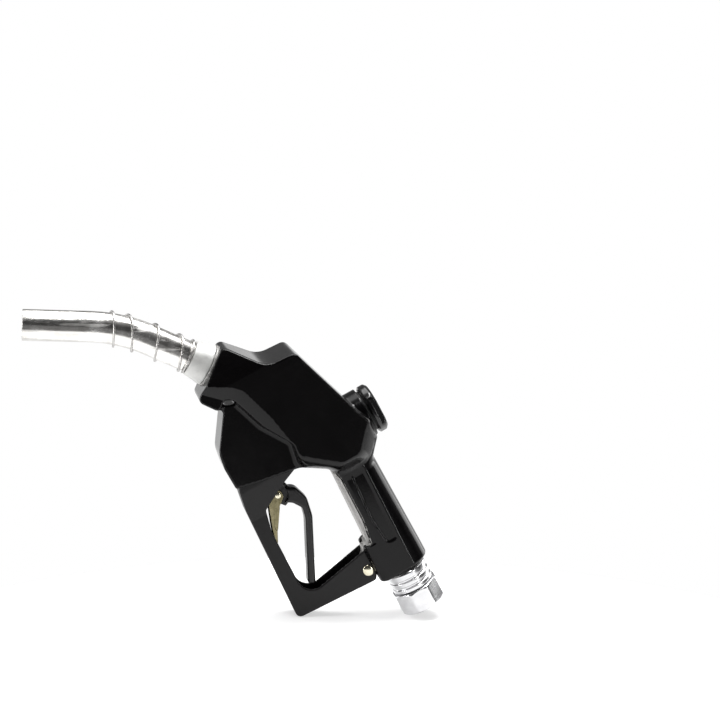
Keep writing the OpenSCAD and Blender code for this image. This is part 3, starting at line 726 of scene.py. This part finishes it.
GRIP_SPRING_R = 13.7
GRIP_SPRING_START = 17.3
GRIP_SPRING_TURNS = 4.68


def grip_spring_point(turn):
    """A close turn at the collar, then open ones, the last a little closer."""
    s = GRIP_SPRING_START + np.interp(turn, (0, 1, 3.55, 4.7), (0, 3, 56.5, 69.5))
    q = 2 * math.pi * turn + math.radians(200)
    return spout_line.point(s, GRIP_SPRING_R * math.cos(q), GRIP_SPRING_R * math.sin(q))


spring_turns = [grip_spring_point(t) for t in np.linspace(0, GRIP_SPRING_TURNS, 300)]
last = np.array(spring_turns[-1])
onward = unit(last - np.array(spring_turns[-4]))
# The wire's end turns from its own way towards the spout's tip
tipward = spout_line.point(91, 0) - spout_line.point(90, 0) - 0.2 * spout_line.at(90)[1]
hook = [last + 0.8 * k * unit((1 - k / 7) * onward + k / 7 * tipward) for k in range(1, 6)]
stand_for(wire("spout_spring_skin", spring_turns + hook, 0.9, 14), "body", "spout_spring")

# ---- lever, clip and their rivet ----

LEVER_W = 14
FULCRUM = (-61, LATCH_W)
CLIP_PIVOT = (-63.6, -24)
lever_head = Outline([(-65.6, 37.2, 4), (-56.4, 37.2, 4), (-55, 20, 10), (-55, -14, 8), (-50, -30, 0),
                      (-62, -36, 0), (-68.4, -28, 4), (-69, -18, 8), (-66, 0, 10), (-66, 20, 10)])
lever_core = Outline([(-64.4, 16, 1), (-55, 16, 1), (-55, -16, 3), (-52, -30, 0), (-66, -30, 0),
                      (-67.6, -16, 2)])
lever_hand = Outline([(-57.4, -19.4, 4), (-47.6, -25.5, 8), (-43.6, -38, 8), (-46.6, -54, 20),
                      (-71.6, -107.2, 2.5), (-77.4, -104.4, 2.5), (-53.2, -53.6, 20), (-51, -44, 5),
                      (-55.8, -36.4, 4), (-63, -31.4, 3)])


def lever_field(u, y, w):
    side = np.abs(y)
    head, core = both(lever_head(u, w), side - 3.7, 0.6), both(lever_core(u, w), side - 4.5, 0.6)
    form = either(head, core, 0.4)
    form = either(form, both(lever_hand(u, w), side - LEVER_W / 2, 2.7), 1.0)
    to_clip = np.hypot(u - CLIP_PIVOT[0], w - CLIP_PIVOT[1])
    form = without(form, np.hypot(u - FULCRUM[0], w - FULCRUM[1]) - 2.55, 0.2)
    form = without(form, both(to_clip - 8.6, 4.5 - side), 0.5)
    form = without(form, to_clip - 2, 0.1)
    return without(form, both(to_clip - 4, side - 2.1), 0.1)


lever = surface("lever_skin", lever_field, (-79, -7.2, -108), (-42, 7.2, 38), 0.72)
stand_for(lever, "lever", "lever")

clip_plate = Outline([(-67.4, -21, 3), (-60, -19.6, 3), (-59.6, -27, 3), (-67, -33.4, 4), (-77.6, -50, 3),
                      (-82.6, -60, 0.6), (-84.4, -59.4, 0.6), (-80.6, -46, 5), (-73.4, -26, 4)])
clip_foot = Outline([(-77.4, -49.8, 0.2), (-82.4, -60, 0.2), (-84.2, -59.4, 0.2), (-80.4, -49.6, 0.2)])
clip_web = Outline([(-66.6, -33.6, 0.2), (-67.8, -33, 0.2), (-78.6, -50, 0.2), (-77.4, -50.6, 0.2)])
clip_dish = Outline([(-70.6, -30, 2), (-67.6, -36.4, 2), (-78.6, -53, 1), (-78.6, -47, 3)])


def clip_field(u, y, w):
    side = np.abs(y)
    plates = both(clip_plate(u, w), np.abs(side - 5.5) - 0.6, 0.28)
    form = either(plates, both(either(clip_foot(u, w), clip_web(u, w)), side - 5.6, 0.2), 0.3)
    # A dish pressed into each plate
    form = without(form, both(clip_dish(u, w), 5.85 - side, 0.1), 0.15)
    return without(form, np.hypot(u - CLIP_PIVOT[0], w - CLIP_PIVOT[1]) - 2.05, 0.05)


clip = surface("hold_open_clip_skin", clip_field, (-85, -6.4, -61), (-59, 6.4, -19), 0.42)
stand_for(clip, "clip", "hold_open_clip")


def rivet(name, at, half_length, shank, head, height):
    """Rivet across the nozzle with a domed head at each end, from its middle out."""
    dome = [(half_length + height * math.sin(a), head * math.cos(a))
            for a in np.linspace(0, math.pi / 2, 12)]
    dome[-1] = (half_length + height, 0)
    one = [(half_length, shank), (half_length, head - 0.15)] + dome[1:]
    profile = [(-s, r) for s, r in one[::-1]] + one
    return turned(name, Line((at[0], 0, at[1]), (0, 1, 0)), profile, 64)


stand_for(rivet("clip_rivet_skin", CLIP_PIVOT, 6.15, 2, 2.7, 0.85), "lever", "clip_rivet")

# ---- guard ----

GUARD_W = 20
GUARD_SLOT = 15
guard_side = Outline([(-88, 8, 0), (-88, 0, 0), (-89.6, -3, 3), (-92.8, -22, 10), (-98.5, -124.8, 5),
                      (-26, -129.5, 3), (-22.9, -124, 2), (-22.9, -101.5, 1), (-84, -113, 13),
                      (-82.4, -48, 30), (-78, -29, 3), (-57, -16.5, 6), (-40.4, -9, 1), (-40.4, 8, 0)])
guard_channel = Outline([(-89, -16, 2), (-93.6, -116, 3), (-90, -120.2, 3), (-20, -125.6, 0),
                         (-20, -60, 0), (-50, -8, 0), (-78, 4, 0)])
guard_mouth = Outline([(-84, -20, 0), (-84, 60, 0), (-30, 60, 0), (-30, -20, 0)])
guard_ear = Outline([(-84, 0, 0), (-84, 28, 1), (-72, 28, 1), (-72, 0, 0)])


def guard_field(u, y, w):
    side = np.abs(y)
    reach = np.interp(w, (-32, -6), (GUARD_W / 2, 14.4))
    form = both(guard_side(u, w), (side - reach) * 0.985, 1.1)
    form = either(form, both(guard_ear(u, w), np.abs(side - 10.7) - 1.3, 0.3))
    channel = both(guard_channel(u, w), side - GUARD_SLOT / 2, 0.3)
    for rib in (-30, -40, -50):
        tooth = both(both((u + 89.6) * 0.9 + 0.1, w - rib - 3.4), rib - 1.9 - w)
        channel = np.maximum(channel, -both(tooth, (rib - 1.7 - w) * 0.55 + (u + 90.2) * 0.84))
    form = without(form, channel, 0.45)
    form = without(form, both(guard_mouth(u, w), side - GUARD_SLOT / 2), 0.4)
    form = without(form, np.hypot(u - GUARD_SCREW[0], w - GUARD_SCREW[1]) - 2, 0.1)
    return without(form, np.hypot(u - GUARD_RIVET[0], w - GUARD_RIVET[1]) - 2.6, 0.1)


guard = surface("lever_guard_skin", guard_field, (-99, -14.5, -130), (-22, 14.5, 28), 0.95)
stand_for(guard, "body", "lever_guard")
stand_for(rivet("guard_rivet_skin", GUARD_RIVET, GUARD_W / 2, 2.6, 5, 2), "body", "guard_rivet")

# ---- swivel ----

handle = Line((0, 0, 0), (0, 0, 1))
adaptor = turned("swivel_adaptor_skin", handle, rounded([
    (-158.6, 9.5), (-158.6, 14.8), (-156.2, 14.8), (-156.2, 13), (-152, 13), (-152, 17.2),
    (-151.2, 18), (-148.4, 18), (-147.8, 16.9), (-146.4, 16.9), (-145.8, 18), (-142.4, 18),
    (-141.8, 16.9), (-140.4, 16.9), (-139.8, 18), (-135.4, 18), (-134.2, 16.8), (-134.2, 12),
    (-116, 12), (-116, 9.5)], 0.35), 144)
stand_for(adaptor, "body", "swivel_adaptor")

NUT_FLATS = 38.5
nut_profile = Outline([(-172, -18.4, 0.6), (-169.8, -20.6, 1), (-154, -20.6, 1), (-152.4, -19.2, 0.6),
                       (-152.4, 19.2, 0.6), (-154, 20.6, 1), (-169.8, 20.6, 1), (-172, 18.4, 0.6)])


def nut_field(u, y, w):
    r = np.hypot(u, y)
    around = np.arctan2(y, u)
    eighth = math.pi / 4
    flat = r * np.cos((around + eighth / 2) % eighth - eighth / 2) - NUT_FLATS / 2
    form = both(flat, nut_profile(w, r), 0.5)
    form = without(form, r - 13.1, 0.4)
    # Threaded socket for the hose, with a relief above it
    thread = 0.45 * np.abs((w * 0.44) % 1 * 2 - 1)
    form = without(form, both(r - 15.15 - thread * (w < -161), w + 155.9), 0.4)
    return without(form, both(both(r - 15.75, w + 155.9), -161 - w), 0.1)


nut = surface("swivel_nut_skin", nut_field, (-21, -21, -172), (21, 21, -152), 0.62)
stand_for(nut, "swivel", "swivel_nut")

# ---- springs inside ----


def inner_spring(node, joint, keep, fixed, *shape):
    """A smooth spring in a node's place."""
    made = coil(node + "_skin", *shape)
    stand_for(made, "body", node)
    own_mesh(made)


inner_spring("main_spring", "main_valve_slide", 0.76, 35.7,
             Line((0, 0, 0), (1, 0, 0)), -4.3, 35.7, 9, 0.8, 7)
inner_spring("check_valve_spring", "check_valve_slide", 0.67, -21.2,
             Line(SPOUT_AT, SPOUT_WAY), -36.5, -21.2, 6, 0.5, 6)
inner_spring("plunger_spring", "plunger_slide", 0.73, -35.8,
             Line((0, 0, LATCH_W), (1, 0, 0)), -35.8, -13.8, 7.5, 0.6, 6)
inner_spring("diaphragm_spring", "latch_slide", 0.56, 5.3,
             Line((0, 0, LATCH_W), (1, 0, 0)), -1.5, 5.3, 5.5, 0.45, 3)

# ---- lights, floor and background ----

scene = bpy.context.scene
scene.view_settings.view_transform = "Standard"


def area_light(name, at, aim, size, watts):
    data = bpy.data.lights.new(name, "AREA")
    data.shape = "RECTANGLE"
    data.size, data.size_y = size
    data.energy = watts
    lamp = bpy.data.objects.new(name, data)
    lamp.location = at
    lamp.rotation_mode = "QUATERNION"
    lamp.rotation_quaternion = (Vector(aim) - Vector(at)).to_track_quat("-Z", "Y")
    bpy.context.collection.objects.link(lamp)


middle = (0, 0, 0.12)
area_light("overhead", (0.1, 0.3, 1.5), middle, (1.5, 1.0), 17)
area_light("left_back", (-1.3, 0.75, 0.55), middle, (0.7, 1.0), 7)
area_light("right_back", (1.35, 0.6, 0.5), middle, (0.7, 1.0), 7)
# Narrow strips that draw a thin bright line along each rounded edge
area_light("strip_above", (0.1, -0.12, 1.45), (0, 0, 0.2), (1.5, 0.12), 16)
area_light("strip_left", (-1.25, -0.2, 0.15), middle, (0.09, 1.1), 9)
area_light("strip_right", (0.95, -1.25, 0.3), middle, (0.05, 0.9), 3)

world = bpy.data.worlds.new("studio")
scene.world = world
world.use_nodes = True
wn, wl = world.node_tree.nodes, world.node_tree.links
sky = wn["Background"]
path = wn.new("ShaderNodeLightPath")
where = wn.new("ShaderNodeTexCoord")
split = wn.new("ShaderNodeSeparateXYZ")
wl.new(where.outputs["Generated"], split.inputs[0])


def graded(axis, points):
    """Brightness along one axis of the sky, from (height, brightness) points."""
    made = wn.new("ShaderNodeValToRGB")
    made.color_ramp.interpolation = "EASE"
    stops = made.color_ramp.elements
    while len(stops) < len(points):
        stops.new(0.5)
    for stop, (at, value) in zip(stops, points):
        stop.position = at / 2 + 0.5
        stop.color = (value, value, value, 1)
    spread = wn.new("ShaderNodeMath")
    spread.operation = "MULTIPLY_ADD"
    wl.new(split.outputs[axis], spread.inputs[0])
    spread.inputs[1].default_value = 0.5
    spread.inputs[2].default_value = 0.5
    wl.new(spread.outputs[0], made.inputs[0])
    return made.outputs[0]


# Dark towards the viewer, and above the backdrop up to the lights overhead
facing = graded("Y", [(-0.8, 0.2), (-0.3, 0.22), (0.0, 1.0)])
height = graded("Z", [(-0.4, 1.0), (0.06, 1.0), (0.16, 0.22), (0.6, 0.3), (0.85, 1.0)])
together = wn.new("ShaderNodeMath")
together.operation = "MULTIPLY"
wl.new(facing, together.inputs[0])
wl.new(height, together.inputs[1])
seen = wn.new("ShaderNodeMath")
seen.operation = "MAXIMUM"
wl.new(together.outputs[0], seen.inputs[0])
wl.new(path.outputs["Is Camera Ray"], seen.inputs[1])
wl.new(seen.outputs[0], sky.inputs["Strength"])
sky.inputs["Color"].default_value = (1, 1, 1, 1)

# Turntable the nozzle stands on, cut off in front of the camera's view
TABLE_AT, TABLE_R = (0.1175, -0.364), 0.525
TABLE_PAST_HALF = 0.106  # how far the arc runs past a half circle at each end, in radians
table_mesh = bpy.data.meshes.new("floor")
ring = [(TABLE_AT[0] + TABLE_R * math.cos(a), TABLE_AT[1] + TABLE_R * math.sin(a), -0.0004)
        for a in np.linspace(-TABLE_PAST_HALF, math.pi + TABLE_PAST_HALF, 120)]
table_mesh.from_pydata(ring, [], [list(range(120))])
floor = bpy.data.objects.new("floor", table_mesh)
bpy.context.collection.objects.link(floor)
pale = finish("floor_white", ((0.60, 0.60, 0.60), (0.62, 0.62, 0.62)), (0.5, 0.6), bump=0.01)
glow = pale.node_tree.nodes["Principled BSDF"].inputs
glow["Emission Color"].default_value = (1, 1, 1, 1)
glow["Emission Strength"].default_value = 0.5
floor.data.materials.append(pale)
